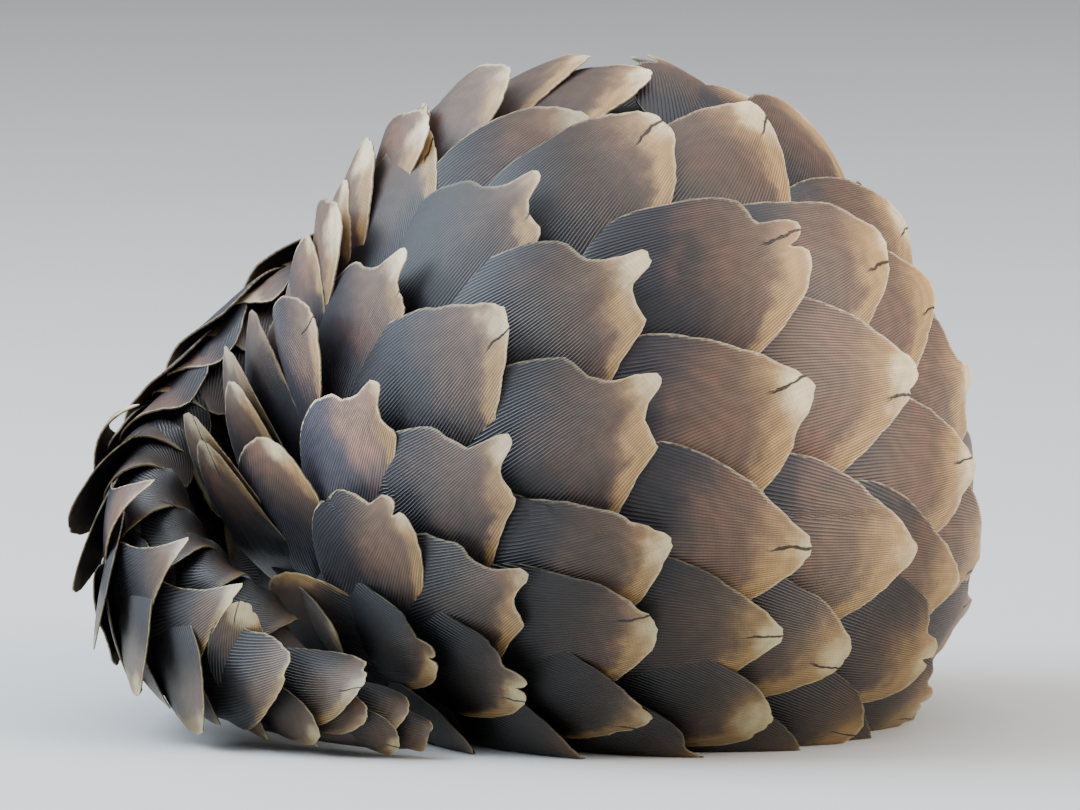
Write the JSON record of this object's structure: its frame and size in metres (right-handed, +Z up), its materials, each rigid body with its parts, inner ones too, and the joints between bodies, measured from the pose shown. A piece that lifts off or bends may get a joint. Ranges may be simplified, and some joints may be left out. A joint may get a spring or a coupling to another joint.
{
  "type": "pangolin",
  "caption": "Ground pangolin rolled up into a ball on its side, head and legs tucked in and tail wrapped round the front, covered in large overlapping scutes.",
  "frame": {"origin": "middle of the ball's footprint on the ground, at ground level", "axes": "+Z up, +X to the right as seen from the front, +Y to the back; the front shows the back of the animal and its tail on the left"},
  "size_m": [0.339, 0.274, 0.247],
  "materials": {
    "scute": "striated keratin, grey-brown with pale worn edges",
    "skin": "bare, finely wrinkled skin",
    "claw": "worn horn",
    "eye": "wet and dark"
  },
  "bodies": {
    "root": {"shoulders": "scute", "upper_back": "scute", "middle_back": "scute", "lower_back": "scute", "loin": "scute", "rump": "scute", "tail_root": "scute", "tail_upper": "scute", "tail_middle": "scute", "tail_lower": "scute", "tail_tip": "scute", "neck": "skin", "eye_left": "eye", "eye_right": "eye", "head": "skin", "ear_left": "skin", "ear_right": "skin", "foreleg_left": "skin", "forefoot_left": "skin", "foreclaw_left_1": "claw", "foreclaw_left_2": "claw", "foreclaw_left_3": "claw", "foreclaw_left_4": "claw", "foreclaw_left_5": "claw", "hindleg_left": "skin", "hindfoot_left": "skin", "hindclaw_left_1": "claw", "hindclaw_left_2": "claw", "hindclaw_left_3": "claw", "hindclaw_left_4": "claw", "hindclaw_left_5": "claw", "foreleg_right": "skin", "forefoot_right": "skin", "foreclaw_right_1": "claw", "foreclaw_right_2": "claw", "foreclaw_right_3": "claw", "foreclaw_right_4": "claw", "foreclaw_right_5": "claw", "hindleg_right": "skin", "hindfoot_right": "skin", "hindclaw_right_1": "claw", "hindclaw_right_2": "claw", "hindclaw_right_3": "claw", "hindclaw_right_4": "claw", "hindclaw_right_5": "claw"}
  },
  "joints": []
}
